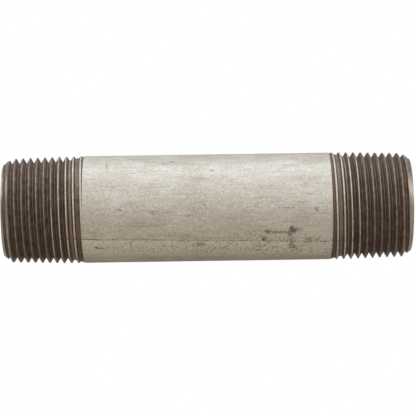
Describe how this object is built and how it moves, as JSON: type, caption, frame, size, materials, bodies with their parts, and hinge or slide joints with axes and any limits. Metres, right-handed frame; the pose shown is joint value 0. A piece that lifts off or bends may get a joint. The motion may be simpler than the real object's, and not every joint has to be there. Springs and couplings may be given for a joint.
{
  "type": "threaded pipe nipple",
  "caption": "Short straight length of galvanised steel pipe with a taper pipe thread cut on each end, for joining two internally threaded fittings.",
  "frame": {"origin": "on the pipe's axis, halfway between its two end faces", "axes": "+X along the pipe's axis, out of the right end; the weld seam lies on the -Y side, 37 degrees below the horizontal"},
  "size_m": [0.1016, 0.0268, 0.0268],
  "materials": {
    "bare_steel": "cut threads, dark with cutting oil",
    "weld_steel": "forge-welded, cut with the threads",
    "outer_zinc": "hot-dip galvanised, dull and mottled",
    "inner_zinc": "hot-dip galvanised, rougher than the outside"
  },
  "bodies": {
    "root": {"rolled_steel_strip": "bare_steel", "weld_seam": "weld_steel", "outer_zinc_coating": "outer_zinc", "inner_zinc_coating": "inner_zinc"}
  },
  "joints": []
}
